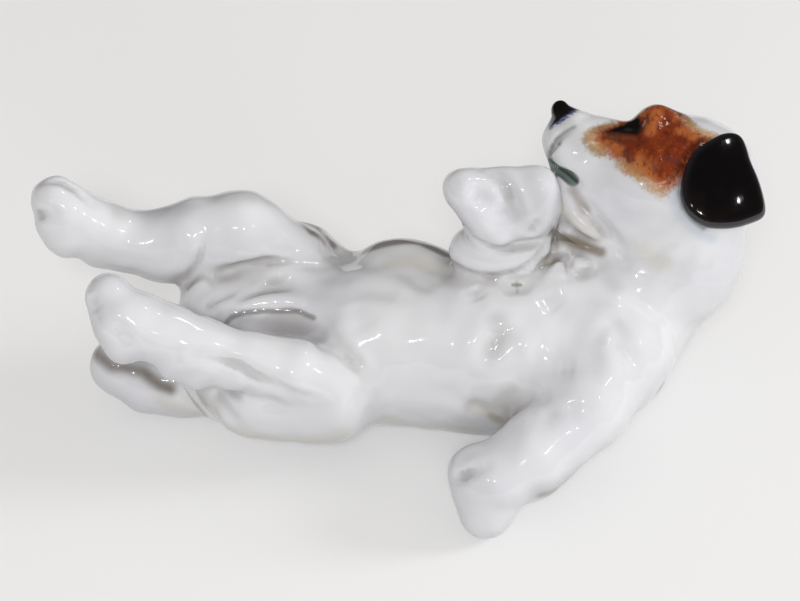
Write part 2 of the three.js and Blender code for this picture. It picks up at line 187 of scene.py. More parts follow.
rightHindLeg = {
    "masses": [
        ("bone", (-15, 8, 18), (-19, 9.5, 23.2), 7.5, 6, 0),
        ("bone", (-15.5, 15, 20.8), (-20, 14.5, 22.4), 4.8, 5.7, 1.5),
        ("bone", (-15.5, 15, 20.2), (-11, 14.4, 16.6), 4.4, 3.4, 4),
        ("bone", (-30.5, 10.5, 21.6), (-20, 10.5, 21.6), 4.6, 5, 4),
        ("bone", (-16.5, 11, 24.6), (-26, 12, 28.9), 4.6, 5.9, 2),
        ("bone", (-26, 12, 28.8), (-33.5, 12, 27.9), 5.8, 6.1, 3),
        ("bone", (-33.5, 12, 27), (-38.7, 12, 25.4), 5.8, 5.8, 3),
        ("bone", (-38.7, 12, 25.4), (-49.4, 12, 27.3), 5.8, 5, 1.5),
        ("bone", (-37.5, 12, 24), (-36.4, 11.5, 22.3), 4, 2.8, 1),
        ("bone", (-56.3, 12.5, 34.4), (-54.7, 11, 29.2), 4.2, 4.2, 1),
        ("bone", (-49, 12, 28.5), (-54.6, 12, 31.8), 5, 5.2, 1.5),
    ],
    "reach": 3,
    "seam": ((-20, 10.5, 23.5), (-0.25, 0.55, 0.8)),
    "tip": (-60, 12, 33),
    "cell": 0.5,
    "span": ((-66, -2, 10), (-4, 26, 44)),
}
tail = {
    "masses": [
        ("bone", (-25, -1.5, 8), (-36, 0, 6), 7, 5.5, 0),
        ("bone", (-36, 0, 6), (-41.8, 0.4, 6.2), 5.6, 5.6, 2),
        ("bone", (-41.8, 0.4, 6.3), (-46.7, 1, 8.6), 5.5, 5, 1),
    ],
    "reach": 3,
    "seam": ((-34, -1, 7), (-0.85, 0, -0.53)),
    "tip": (-50, 2, 6),
    "cell": 0.5,
    "span": ((-56, -12, -3), (-24, 12, 18)),
}
limbs = {
    "left_foreleg": leftForeleg,
    "right_foreleg": rightForeleg,
    "left_hind_leg": leftHindLeg,
    "right_hind_leg": rightHindLeg,
    "tail": tail,
}

# The head turns its left cheek up; its own axes are forward, left and crown. Masses off its middle are
# mirrored, hollows are cut out of them, and the throat keeps the chin's gap to the raised paw
head = {
    "centre": (46.3, 13.0, 40.5),
    "pitch": 16.0,
    "roll": 15.0,
    "seam": ((40.5, 8.1, 22.5), (0.5, 0.4, 0.77)),
    "tip": (25, 20, 49),
    "cell": 0.4,
    "span": ((18, -10, 8), (66, 32, 58)),
    "chinGap": -0.2,
    "reach": 6,
    "masses": [
        ("lump", (-0.9, 0, -0.8), (10.8, 9.4, 9.6), 0),  # skull
        ("bone", (4, 0, -1.8), (18.8, 0, -0.6), 7.6, 4.9, 4),  # muzzle
        ("bone", (7, 0, -7), (17, 0, -7.6), 5.6, 3.2, 2),  # jaw
        ("lump", (16.4, 2.3, -2.8), (5, 3, 4.3), 2),  # lips
        ("bone", (19.8, 0, 2), (22.1, 0, 4), 3.2, 1.5, 1.5),  # nose
        ("lump", (6.4, 4.4, 5), (3.6, 3, 3), 2.5),  # brows
        ("lump", (5, 5, -5.5), (7.5, 5, 6), 4),  # cheeks
    ],
    "hollows": [
        ("bone", (15, 4.6, 1.2), (9.8, 7, 3.4), 0.3, 1.1, 1.2),  # eye sockets
        ("bone", (21.6, 0.6, -4.9), (16.2, 4.2, -8.7), 0.7, 0.8, 0.8),  # mouth
    ],
}
pitch, roll = math.radians(head["pitch"]), math.radians(head["roll"])
forward = -math.cos(pitch) * screenRight + math.sin(pitch) * screenUp
raised = math.cos(pitch) * screenUp + math.sin(pitch) * screenRight
headAxes = np.array([
    forward,
    math.cos(roll) * toCamera + math.sin(roll) * raised,
    math.cos(roll) * raised - math.sin(roll) * toCamera,
], np.float32)
headCentre = np.array(head["centre"], np.float32)


def intoHead(p):
    return (p - headCentre) @ headAxes.T


def bothSides(q):
    return np.stack([q[:, 0], np.abs(q[:, 1]), q[:, 2]], 1)


def headField(p):
    q = bothSides(intoHead(p))
    d = joinAll(q, head["masses"])
    for hollow in head["hollows"]:
        d = softMax(d, -massField(q, hollow), hollow[-1])
    return d


def headOnBody(p, body):
    body = softMin(body, joinAll(p, neck["masses"]), neck["reach"])
    return softMin(body, headField(p), head["reach"])


# Two limbs that both stand off the body meet in a small soft crease; elsewhere the nearer one wins
creaseReach, creaseLeast = 0.8, 1e-4


def crease(body, a, b):
    reach = creaseReach * np.clip(np.minimum(body - a, body - b), 0, 1) + creaseLeast
    return softMin(a, b, reach)


def plainSkin(p):
    p = p.astype(np.float32)
    body = joinAll(p, torso["masses"])
    foreleg = joinAll(p, rightForeleg["masses"])
    d = np.maximum(headOnBody(p, body), head["chinGap"] - foreleg)
    for name, limb in limbs.items():
        shape = foreleg if name == "right_foreleg" else joinAll(p, limb["masses"])
        d = crease(body, d, softMin(body, shape, limb["reach"]))
    return d


# Modelled strokes, drawn as the camera sees them (x, y in the frame) and cast onto the skin:
# width and height in millimetres, height below zero for a groove
strokes = [
    # far hind leg: hock fold, folds under the thigh, toes
    (1.1, -0.8, [(205, 231), (204, 242), (201, 256), (196, 270), (190, 282)]),
    (1.1, -0.9, [(213, 280), (223, 273), (240, 266), (262, 262), (290, 261), (310, 263), (324, 266)]),
    (1.4, 0.5, [(222, 267), (240, 258), (262, 253), (286, 252)]),
    (1.2, -0.4, [(260, 250), (275, 244), (288, 245), (301, 252), (313, 261)]),
    (1.0, -0.9, [(32, 217), (42, 215), (52, 212)]),
    (1.0, -0.8, [(42, 183), (60, 181), (76, 189), (90, 203)]),
    # near hind leg: heel fold, haunch, toes, flank
    (1.2, -1.0, [(180, 357), (200, 357), (220, 360), (240, 366), (253, 375), (270, 384), (286, 393),
                 (298, 403)]),
    (0.9, -0.4, [(288, 391), (303, 397), (316, 398)]),
    (1.5, -0.9, [(212, 386), (216, 395), (223, 408), (231, 418), (243, 428)]),
    (2.2, 0.5, [(236, 392), (255, 396), (272, 404)]),
    (1.2, -0.7, [(90, 292), (93, 303), (97, 314)]),
    (1.2, -0.7, [(118, 330), (122, 335), (126, 339)]),
    (1.2, -0.8, [(335, 343), (350, 358), (364, 373)]),
    (2.2, -0.4, [(364, 384), (358, 398), (348, 412)]),
    # groin: hollow above the shank and the narrow folds beside it
    (2.4, -2.6, [(240, 322), (262, 319), (290, 318), (312, 324), (326, 340)]),
    (1.0, -0.9, [(228, 323), (238, 315), (264, 311), (298, 311), (314, 318), (326, 332), (342, 350)]),
    (1.0, -0.9, [(198, 313), (208, 304), (220, 297), (230, 292)]),
    (1.0, -0.7, [(229, 308), (241, 300), (256, 293), (271, 288), (287, 287)]),
    (1.3, 0.6, [(206, 312), (230, 304), (260, 298), (300, 297)]),
    (1.2, 0.7, [(185, 301), (192, 294), (200, 286), (212, 280)]),
    # belly and flank
    (2.0, -0.7, [(346, 291), (366, 290), (386, 291), (400, 297)]),
    (2.0, -0.5, [(353, 300), (360, 318), (366, 334)]),
    (3.4, -0.9, [(413, 294), (428, 278), (446, 262)]),
    (3.0, -0.5, [(396, 378), (436, 392), (468, 402)]),
    (1.4, -0.8, [(464, 404), (482, 409), (499, 418)]),
    # chest and shoulder
    (1.4, -0.6, [(472, 285), (475, 293), (479, 302)]),
    (1.8, -0.9, [(500, 320), (502, 330), (499, 340), (491, 350), (487, 363)]),
    (3.0, 0.5, [(512, 350), (535, 346), (560, 350)]),
    (2.0, -0.8, [(625, 318), (608, 328), (597, 340), (593, 351)]),
    (1.8, -0.8, [(616, 325), (620, 345), (630, 358), (639, 371)]),
    (2.4, 0.6, [(607, 345), (610, 358), (612, 372)]),
    (1.8, -0.7, [(518, 396), (540, 398), (553, 391)]),
    (1.8, -0.7, [(536, 412), (560, 414), (586, 411)]),
    (1.6, -0.4, [(556, 372), (576, 370)]),
    # near forepaw
    (1.1, -1.0, [(451, 479), (463, 476), (474, 471), (484, 467)]),
    # raised forepaw: back edge, pad, wrist folds, ring of the elbow and the pit under it
    (1.3, -1.0, [(484, 169), (496, 174), (504, 184), (509, 197), (512, 212), (519, 226)]),
    (2.2, 0.7, [(458, 178), (466, 200), (480, 222), (497, 240)]),
    (1.5, -0.7, [(475, 196), (481, 200)]),
    (1.0, -0.7, [(527, 238), (534, 228), (541, 218)]),
    (0.9, -0.7, [(466, 229), (472, 238), (486, 246), (501, 250), (520, 247), (534, 243), (549, 239)]),
    (0.8, -0.7, [(449, 262), (462, 272), (480, 278), (500, 278), (517, 273), (533, 262), (545, 250),
                 (551, 238)]),
    (1.3, -1.4, [(513, 285), (521, 285)]),
    # throat and neck folds
    (1.7, -2.2, [(557, 236), (571, 240), (587, 247), (601, 252)]),
    (1.6, 1.1, [(566, 210), (580, 223), (596, 236), (607, 244)]),
    (1.4, -1.0, [(574, 190), (580, 202), (590, 214), (603, 228), (614, 246), (624, 266)]),
    (1.6, 0.7, [(556, 258), (562, 270), (561, 282)]),
    (1.5, 0.6, [(572, 258), (584, 262), (594, 262)]),
    (0.9, -0.8, [(534, 274), (543, 264), (554, 256), (564, 254), (568, 266), (566, 280)]),
    (0.9, -0.7, [(572, 276), (586, 273), (600, 266)]),
    (2.0, 0.5, [(553, 278), (560, 286)]),
    (1.6, -0.5, [(545, 290), (552, 305), (560, 312)]),
    # muzzle: line of the lip, corner of the mouth
    (0.7, -0.7, [(572, 127), (561, 135), (554, 146), (551, 158)]),
    (0.8, -0.9, [(550, 159), (556, 167), (565, 173), (573, 180), (578, 185)]),
    # lids and cheek
    (1.0, 0.4, [(608, 142), (614, 149), (623, 154)]),
    (0.9, 0.4, [(650, 150), (655, 160), (652, 170)]),
    (0.9, 0.35, [(664, 168), (668, 178), (667, 188)]),
    (1.2, -0.4, [(640, 150), (643, 160), (636, 170)]),
    (1.3, 0.5, [(646, 118), (652, 128), (650, 138)]),
]


def frameRays(points):
    spots = np.asarray(points, float)
    rays = (-toCamera * focalPixels + np.outer(spots[:, 0] - camera["frame"][0] / 2, screenRight)
            - np.outer(spots[:, 1] - camera["frame"][1] / 2, screenUp))
    return rays / np.linalg.norm(rays, axis=1)[:, None]


# Marches from the camera to the skin; a ray that misses gives its nearest point to the skin
march = {"lead": 75.0, "steps": 90, "back": 1, "ahead": 6, "share": 0.8, "creep": 0.02, "miss": 0.4}


def castOnSkin(points, field=plainSkin):
    rays = frameRays(points)
    far = np.full(len(rays), camera["distance"] - march["lead"])
    closest = np.full(len(rays), huge)
    spots = np.zeros((len(rays), 3))
    for step in range(march["steps"]):
        here = eyePoint + far[:, None] * rays
        away = field(here)
        better = np.abs(away) < closest
        closest[better] = np.abs(away)[better]
        spots[better] = here[better]
        far += np.clip(away, -march["back"], march["ahead"]) * march["share"] + (away > 0) * march["creep"]
    return spots.astype(np.float32), closest


# Reach of a stroke in widths, how its ends run out, and how far beside it a fold counts as deep
strokeForm = {"box": 3, "endShare": 3, "endLength": 3, "endHeight": 0.3, "foldShare": 2.5, "foldWidth": 0.4}


def castStrokes():
    spots = castOnSkin([point for stroke in strokes for point in stroke[2]])[0]
    made, start = [], 0
    for width, height, points in strokes:
        path = spots[start:start + len(points)]
        start += len(points)
        box = strokeForm["box"] * width
        made.append((width, height, path, path.min(0) - box, path.max(0) + box))
    return made


castPaths = castStrokes()


# Distance to a path, and how far in from its nearer end the closest point lies
def nearPath(p, path):
    steps = np.linalg.norm(np.diff(path, axis=0), axis=1)
    along = np.concatenate([[0], np.cumsum(steps)])
    best = np.full(len(p), huge, np.float32)
    where = np.zeros(len(p), np.float32)
    for i in range(len(path) - 1):
        axis = path[i + 1] - path[i]
        t = np.clip(((p - path[i]) @ axis) / max(axis @ axis, tiny), 0, 1)
        q = p - path[i] - t[:, None] * axis
        d = np.sqrt((q * q).sum(1))
        closer = d < best
        best[closer] = d[closer]
        where[closer] = (along[i] + steps[i] * t)[closer]
    return best, np.minimum(where, along[-1] - where), along[-1]


# Hand-pressed unevenness of the clay under the glaze: crossed waves a few millimetres long
waves = {"height": 0.025, "lengths": (3.1, 4.3, 5.9, 8.3), "perLength": 3, "unitLength": 5, "seed": 11}
waveDraw = np.random.default_rng(waves["seed"])
waveList = []
for waveLength in waves["lengths"]:
    for turn in range(waves["perLength"]):
        heading = waveDraw.normal(size=3)
        heading *= 2 * math.pi / waveLength / np.linalg.norm(heading)
        phase = waveDraw.uniform(0, 2 * math.pi)
        waveList.append((heading.astype(np.float32), phase, waveLength / waves["unitLength"]))


def unevenness(p):
    total = np.zeros(len(p), np.float32)
    for heading, phase, weight in waveList:
        total += weight * np.sin(p @ heading + phase)
    return waves["height"] * total


# The skin with its strokes; a plain field of the whole body or of one limb goes in
def modelled(plain, p):
    p = p.astype(np.float32)
    d = plain(p) + unevenness(p)
    for width, height, path, low, high in castPaths:
        near = np.flatnonzero((p > low).all(1) & (p < high).all(1))
        if len(near) == 0:
            continue
        away, inward, total = nearPath(p[near], path)
        end, least = min(total / strokeForm["endShare"], strokeForm["endLength"]), strokeForm["endHeight"]
        taper = np.clip(inward / end, 0, 1) if total > 2 * width else 1
        ease = least + (1 - least) * taper * taper * (3 - 2 * taper)
        d[near] -= height * ease * np.exp(-(away / width) ** 2)
    return d


def skin(p):
    return modelled(plainSkin, p)


def limbSkin(name):
    limb = limbs[name]

    def plainLimb(p):
        return softMin(joinAll(p, torso["masses"]), joinAll(p, limb["masses"]), limb["reach"])

    return lambda p: modelled(plainLimb, p)


def plainHead(p):
    body = headOnBody(p, joinAll(p, torso["masses"]))
    return np.maximum(body, head["chinGap"] - joinAll(p, rightForeleg["masses"]))


def headSkin(p):
    return modelled(plainHead, p)


# Surface mesher: grid blocks near the skin are filled in finely, then one vertex per crossed cell.
# A block is near within its half diagonal, stretched as the field may be, and a margin
mesher = {
    "block": 8,
    "batch": 200,
    "halfDiagonal": 0.87,
    "stretch": 1.35,
    "margin": 1.5,
    "probe": 0.12,
    "rounds": 2,
    "flattest": 0.2,
    "furthest": 0.3,
}


def sampleField(field, low, high, cell):
    block, batch = mesher["block"], mesher["batch"]
    low, high = np.array(low, float), np.array(high, float)
    count = np.ceil((high - low) / (cell * block)).astype(int)
    centres = np.stack(np.meshgrid(*[np.arange(n) + 0.5 for n in count], indexing="ij"), -1)
    away = field((low + centres.reshape(-1, 3) * cell * block).astype(np.float32)).reshape(count)
    value = np.repeat(np.repeat(np.repeat(away, block, 0), block, 1), block, 2).astype(np.float32)
    value = np.pad(value, ((0, 1),) * 3, mode="edge")
    reach = cell * block * mesher["halfDiagonal"] * mesher["stretch"] + mesher["margin"]
    offsets = np.stack(np.meshgrid(*[np.arange(block + 1)] * 3, indexing="ij"), -1)
    near = np.argwhere(np.abs(away) < reach)
    for start in range(0, len(near), batch):
        group = near[start:start + batch]
        spots = low + (group[:, None, None, None, :] * block + offsets[None]) * cell
        filled = field(spots.reshape(-1, 3).astype(np.float32)).reshape(len(group), *offsets.shape[:3])
        for (i, j, k), part in zip(group * block, filled):
            value[i:i + block + 1, j:j + block + 1, k:k + block + 1] = part
    return value, low


def meshField(field, low, high, cell):
    value, low = sampleField(field, low, high, cell)
    shape = value.shape
    inside = value < 0
    crowd = np.zeros([n - 1 for n in shape], np.uint8)
    corners = [(x, y, z) for x in (0, 1) for y in (0, 1) for z in (0, 1)]
    for x, y, z in corners:
        crowd += inside[x:shape[0] - 1 + x, y:shape[1] - 1 + y, z:shape[2] - 1 + z]
    crossed = (crowd > 0) & (crowd < 8)
    number = np.full(crossed.shape, -1, np.int64)
    number[crossed] = np.arange(crossed.sum())
    cells = np.argwhere(crossed)
    total, hits = np.zeros((len(cells), 3)), np.zeros(len(cells))
    for start in corners:
        for axis in range(3):
            if start[axis]:
                continue
            end = np.array(start)
            end[axis] = 1
            a = value[tuple((cells + start).T)]
            b = value[tuple((cells + end).T)]
            cut = (a < 0) != (b < 0)
            t = np.where(cut, a / np.where(cut, a - b, 1), 0)
            total[cut] += (np.array(start) + t[:, None] * (end - np.array(start)))[cut]
            hits[cut] += 1
    points = low + (cells + total / hits[:, None]) * cell
    faces = []
    for axis in range(3):
        u, v = [(1, 2), (2, 0), (0, 1)][axis]
        here = [slice(0, n) for n in shape]
        there = [slice(0, n) for n in shape]
        here[axis], there[axis] = slice(0, shape[axis] - 1), slice(1, shape[axis])
        edges = np.argwhere(inside[tuple(here)] != inside[tuple(there)])
        beside = edges[:, [u, v]]
        edges = edges[((beside > 0) & (beside < np.array(shape)[[u, v]] - 1)).all(1)]
        ring = []
        for du, dv in ((1, 1), (0, 1), (0, 0), (1, 0)):
            at = edges.copy()
            at[:, u] -= du
            at[:, v] -= dv
            ring.append(number[tuple(at.T)])
        ring = np.stack(ring, 1)
        outward = ~inside[tuple(edges.T)]
        ring[outward] = ring[outward][:, ::-1]
        faces.append(ring)
    return settle(field, points), np.concatenate(faces)


def slopeOf(field, p):
    step = mesher["probe"]
    probes = np.eye(3, dtype=np.float32) * step
    return np.stack([field(p + probe) - field(p - probe) for probe in probes], 1) / (2 * step)


def outwardAt(field, points):
    slope = slopeOf(field, points)
    return slope / np.maximum(np.linalg.norm(slope, axis=1), 1e-6)[:, None]


def settle(field, points):
    furthest = mesher["furthest"]
    for turn in range(mesher["rounds"]):
        p = points.astype(np.float32)
        slope = slopeOf(field, p)
        steep = np.maximum((slope * slope).sum(1), mesher["flattest"])
        points = points - np.clip(field(p) / steep, -furthest, furthest)[:, None] * slope
    return points


# Cuts a raw mesh at its seams, closes each cut flat and keeps the part that holds the tip
seamTolerance = 1e-4


def cutPiece(name, points, faces, planes, tip):
    mesh = bpy.data.meshes.new(name)
    mesh.from_pydata(points.tolist(), [], faces.tolist())
    work = bmesh.new()
    work.from_mesh(mesh)
    for face in work.faces:
        face.smooth = True
    for at, outward in planes:
        everything = work.verts[:] + work.edges[:] + work.faces[:]
        bmesh.ops.bisect_plane(work, geom=everything, dist=seamTolerance, plane_co=Vector(at),
                               plane_no=Vector(outward), clear_outer=True)
        rim = [e for e in work.edges if e.is_boundary]
        for face in bmesh.ops.holes_fill(work, edges=rim, sides=0)["faces"]:
            face.smooth = False
    goal = Vector(tip)
    first = min(work.verts, key=lambda v: (v.co - goal).length_squared)
    kept, border = {first}, [first]
    while border:
        vertex = border.pop()
        for link in vertex.link_edges:
            other = link.other_vert(vertex)
            if other not in kept:
                kept.add(other)
                border.append(other)
    bmesh.ops.delete(work, geom=[v for v in work.verts if v not in kept], context="VERTS")
    bmesh.ops.recalc_face_normals(work, faces=work.faces[:])
    work.to_mesh(mesh)
    work.free()
    mesh.update()
    return mesh


def pointsOf(mesh):
    flat = np.empty(len(mesh.vertices) * 3, np.float32)
    mesh.vertices.foreach_get("co", flat)
    return flat.reshape(-1, 3)


# Every vertex takes the skin's own slope as its normal, so shading runs on across the seams
def shadeBySlope(mesh, field):
    outward = outwardAt(field, pointsOf(mesh))
    corner = np.empty(len(mesh.loops), np.int32)
    mesh.loops.foreach_get("vertex_index", corner)
    normals = outward[corner]
    for face in mesh.polygons:
        if not face.use_smooth:
            normals[face.loop_start:face.loop_start + face.loop_total] = face.normal
    mesh.normals_split_custom_set(normals.tolist())


def addObject(name, mesh, material):
    mesh.transform(Matrix.Scale(mm, 4))
    piece = bpy.data.objects.new(name, mesh)
    bpy.context.scene.collection.objects.link(piece)
    mesh.materials.append(material)
    return piece


def opposite(v):
    return tuple(-x for x in v)


restPlane = ((0, 0, 0), (0, 0, -1))
coarser = 1.0


def sculpt(name, field, shape, planes):
    points, faces = meshField(field, *shape["span"], shape["cell"] * coarser)
    mesh = cutPiece(name, points, faces, planes, shape["tip"])
    shadeBySlope(mesh, field)
    print(name, "has", len(mesh.vertices), "points")
    return mesh


# Painted outlines and brushed dabs, drawn in the frame like the strokes. An outline starts with how far
# left of the head's middle its points lie where they miss the skin, a dab with its width in millimetres
paintOutlines = {
    "patch": (7, [(588, 138), (592, 130), (605, 124), (625, 119.5), (635, 113), (643, 102), (654, 94),
                  (668, 96), (678, 110), (690, 122), (704, 132), (722, 137), (735, 150), (720, 175),
                  (690, 183), (680, 186), (668, 195), (660, 196), (650, 187), (640, 182), (631, 177),
                  (622, 171), (615, 164), (606, 156), (598, 150), (590, 144)]),
    "nose": (1, [(550, 127), (547, 116), (548, 103), (553, 94), (562, 92), (572, 97), (580, 108),
                 (573, 112.5),
                 (566, 117), (558, 122)]),
    "eye": (5, [(604, 132), (612.5, 129), (625, 124.5), (631, 120.5), (636, 117), (640, 120),
                (640.5, 127.5),
                (638, 134.5), (629, 133.6), (617.5, 132.3), (609, 133)]),
}
headDabs = {
    "glow": (1.0, [[(657, 113), (652, 121), (650, 131)], [(682, 131), (690, 134), (700, 139)],
                   [(640, 160), (641, 168)], [(648, 165), (650, 175)], [(610, 142), (618, 149)]]),
    "ember": (0.8, [[(638, 113), (647, 104), (658, 99), (670, 103), (681, 115)],
                    [(702, 140), (690, 149), (684, 162), (679, 175)], [(606, 137), (620, 138)]]),
    "ochre": (1.1, [[(620, 165), (632, 170), (641, 178), (650, 186), (660, 193)], [(637, 166), (640, 172)],
                    [(690, 125), (703, 132), (718, 137)], [(588, 134), (593, 143), (601, 151)]]),
    "olive": (0.9, [[(586, 140), (592, 132), (600, 128), (613, 125)], [(590, 147), (598, 152)],
                    [(679, 110), (686, 117), (692, 124)]]),
    "plum": (0.8, [[(626, 152), (630, 160)], [(668, 158), (677, 161), (684, 164)], [(655, 163),
                                                                                    (656, 169)]]),
    "lid": (0.35, [[(611, 136.5), (621, 138), (632, 138)]]),
    "glint": (0.22, [[(626, 129.5), (631, 130)]]),
    "teal": (1.0, [[(548, 164), (556, 168), (566, 174), (575, 181)], [(549, 169), (557, 173),
                                                                      (566, 178), (572, 182)]]),
    "lipLine": (0.4, [[(550, 159), (552.5, 162), (560, 167.5), (568, 173.5), (577, 181.5)]]),
    "flewLine": (0.35, [[(574, 127), (562.5, 134), (556, 140), (552.5, 147), (551, 154)]]),
    "dot": (0.3, [[(559, 144), (560, 144.5)]]),
    # painted bluish shadow on the white beside the near ear
    "skyShadow": (1.3, [[(674, 186), (677, 206), (690, 226), (712, 238)]]),
    "earShade": (0.5, [[(680, 180), (679, 192), (683, 207), (692, 219), (704, 228)]]),
}
glazeDabs = {
    # painted shade deep in the throat fold
    "umberShade": (1.2, [[(552, 231), (564, 238), (582, 244.5), (601, 252)]]),
    # painted shade under the jaw, in the armpit and along the foreleg's outer and lower edges
    "fawnShade": (1.1, [[(572, 189), (578, 198), (586, 209)], [(492, 416), (500, 420)],
                   [(660, 388), (650, 402), (636, 416)], [(588, 468), (562, 485), (542, 495)]]),
    # painted shade along the top edges of the far thigh and of the belly bump
    "duskEdgeShade": (1.1, [[(294, 212), (308, 223), (321, 234), (333, 245)], [(300, 222), (312, 232), (324, 241)],
                   [(366, 251), (378, 246), (398, 242), (420, 243), (436, 250), (446, 255)]]),
    # painted shadow of the near hind leg on the tail's top
    "sepiaShadow": (1.5, [[(93, 350), (103, 359), (112, 366), (125, 368), (143, 372), (160, 385), (170, 389)]]),
    "moss": (0.35, [[(540, 269), (547, 263), (560, 261)], [(514, 285), (520, 285)]]),
    # painted warm reflection along the lower edges, with painted shade in the throat, under the belly bump and
    # in the armpit
    "beigeShadeAndReflection": (2.2, [[(564, 213), (578, 227), (596, 238)], [(392, 262), (416, 262), (438, 268)],
                    [(165, 402), (200, 416), (240, 432), (290, 441), (340, 435)], [(380, 420),
                                                                                   (420, 427), (470, 430)],
                    [(643, 250), (662, 262)], [(190, 398), (215, 410)], [(480, 404), (496, 415)]]),
    "shade": (2.2, [[(234, 324), (258, 328), (288, 331), (318, 338)]]),
    # painted shade on the raised paw, muzzle, chest, foreleg edges, far hind leg tops and neck
    "veilShade": (2.1, [[(498, 176), (512, 192), (520, 214)],
                   [(530, 180), (542, 200), (540, 222)], [(562, 112), (567, 122), (576, 140), (584, 152)],
                   [(496, 320), (500, 335), (492, 352)], [(662, 386), (650, 402), (634, 418)],
                   [(590, 464), (562, 482), (540, 492)], [(118, 212), (150, 213), (190, 208)],
                   [(220, 198), (250, 196), (280, 200)], [(604, 268), (614, 286)]]),
    # painted shade in the groin crease
    "crease": (0.5, [[(226, 323), (232, 317), (244, 313), (262, 311), (298, 311), (314, 318)]]),
}


def onCheekPlane(points, left):
    start = intoHead(eyePoint)
    rays = frameRays(points) @ headAxes.T
    return start + ((left - start[1]) / rays[:, 1])[:, None] * rays


def onHead(points, left):
    spots, missed = castOnSkin(points)
    hits = np.where(missed[:, None] > march["miss"], onCheekPlane(points, left), intoHead(spots))
    return hits[:, [0, 2]]


def inOutline(spots, outline):
    best = np.full(len(spots), huge)
    inside = np.zeros(len(spots), bool)
    for a, b in zip(outline, np.roll(outline, -1, 0)):
        edge = b - a
        q = spots - a
        t = np.clip((q @ edge) / (edge @ edge), 0, 1)
        best = np.minimum(best, np.linalg.norm(q - t[:, None] * edge, axis=1))
        level = (a[1] > spots[:, 1]) != (b[1] > spots[:, 1])
        rise = edge[1] or tiny
        inside ^= level & (spots[:, 0] < edge[0] * (spots[:, 1] - a[1]) / rise + a[0])
    return np.where(inside, best, -best)


blaze = 1.0  # half the width of the white stripe between the two patches
outlinesOnHead = {name: onHead(points, left) for name, (left, points) in paintOutlines.items()}


def castDabs(dabs):
    made = {}
    for name, (width, paths) in dabs.items():
        made[name] = (width, [castOnSkin(path, skin)[0] for path in paths])
    return made


headPaint, glazeTint = castDabs(headDabs), castDabs(glazeDabs)


def setAttribute(mesh, name, values):
    mesh.attributes.new(name, "FLOAT", "POINT").data.foreach_set("value", values.astype(np.float32))


# How far the open air above each point is closed in by other clay, felt at a few heights; greys it as painted
# shade
airHeights = (1.2, 2.4, 4.8)


def setHollow(mesh, field):
    points = pointsOf(mesh)
    outward = outwardAt(field, points)
    closed = np.zeros(len(points))
    for height in airHeights:
        closed += np.clip(1 - field(points + height * outward) / height, 0, 1) / len(airHeights)
    setAttribute(mesh, "hollow", closed)


# How deep in a drawn fold each point lies, from 0 to 1; the glaze darkens there as painted shade and as glaze
# pooled in the fold
def setFolds(mesh):
    points = pointsOf(mesh)
    deep = np.zeros(len(points))
    for width, height, path, low, high in castPaths:
        near = np.flatnonzero((points > low).all(1) & (points < high).all(1))
        if height > 0 or len(near) == 0:
            continue
        away, inward, total = nearPath(points[near], path)
        ease = np.clip(inward / (total / strokeForm["foldShare"]), 0, 1)
        sunk = height * (strokeForm["endHeight"] + (1 - strokeForm["endHeight"]) * ease)
        beside = np.maximum(away ** 2 - sunk ** 2, 0) / (strokeForm["foldWidth"] * width) ** 2
        deep[near] = np.maximum(deep[near], min(1, -height / width) * ease * np.exp(-beside))
    setAttribute(mesh, "fold", deep)


def setDabs(mesh, dabs):
    points = pointsOf(mesh)
    for name, (width, paths) in dabs.items():
        away = np.min([nearPath(points, path)[0] for path in paths], axis=0)
        setAttribute(mesh, name, np.exp(-(away / width) ** 2))


def setOutlines(mesh):
    side = bothSides(intoHead(pointsOf(mesh)))[:, [0, 2, 1]]
    for name, outline in outlinesOnHead.items():
        inside = inOutline(side[:, :2], outline)
        setAttribute(mesh, name, np.minimum(inside, side[:, 2] - blaze) if name == "patch" else inside)


# Shader graphs written as sums: a wire is one socket and knows the usual signs
class Wire:
    def __init__(self, graph, socket):
        self.graph, self.socket = graph, socket

    def __add__(self, other):
        return self.graph.maths("ADD", self, other)

    def __sub__(self, other):
        return self.graph.maths("SUBTRACT", self, other)

    def __rsub__(self, other):
        return self.graph.maths("SUBTRACT", other, self)

    def __mul__(self, other):
        return self.graph.maths("MULTIPLY", self, other)

    def ramp(self, low, high):
        inputs = {"Value": self, "From Min": low, "From Max": high}
        return self.graph.node("ShaderNodeMapRange", inputs, interpolation_type="SMOOTHSTEP")


class Graph:
    def __init__(self, name):
        self.material = bpy.data.materials.new(name)
        self.material.use_nodes = True
        self.tree = self.material.node_tree
        self.tree.nodes.clear()

    def node(self, kind, inputs=None, out=0, **settings):
        made = self.tree.nodes.new(kind)
        for key, value in settings.items():
            setattr(made, key, value)
        for key, value in (inputs or {}).items():
            if isinstance(value, Wire):
                self.tree.links.new(value.socket, made.inputs[key])
            else:
                made.inputs[key].default_value = value
        return Wire(self, made.outputs[out]) if made.outputs else None

    def maths(self, sign, a, b):
        return self.node("ShaderNodeMath", {0: a, 1: b}, operation=sign)

    # The Mix node's two colours are its inputs 6 and 7 and its mixed colour is output 2
    def mix(self, factor, a, b):
        return self.node("ShaderNodeMix", {0: factor, 6: a, 7: b}, 2, data_type="RGBA")

    def mask(self, name):
        return self.node("ShaderNodeAttribute", out="Fac", attribute_name=name)

    def noise(self, scale, detail=2, rough=0.5, stretch=(1, 1, 1)):
        place = self.node("ShaderNodeTexCoord", out="Object")
        spot = self.node("ShaderNodeVectorMath", {0: place, 1: stretch}, operation="MULTIPLY")
        inputs = {"Vector": spot, "Scale": scale, "Detail": detail, "Roughness": rough}
        return self.node("ShaderNodeTexNoise", inputs)

    def finish(self, surface):
        self.node("ShaderNodeOutputMaterial", {"Surface": surface})
        return self.material


# A colour code as linear light
def hue(code):
    parts = [int(code[i:i + 2], 16) / 255 for i in (0, 2, 4)]
    return tuple(c / 12.92 if c <= 0.04045 else ((c + 0.055) / 1.055) ** 2.4 for c in parts) + (1,)


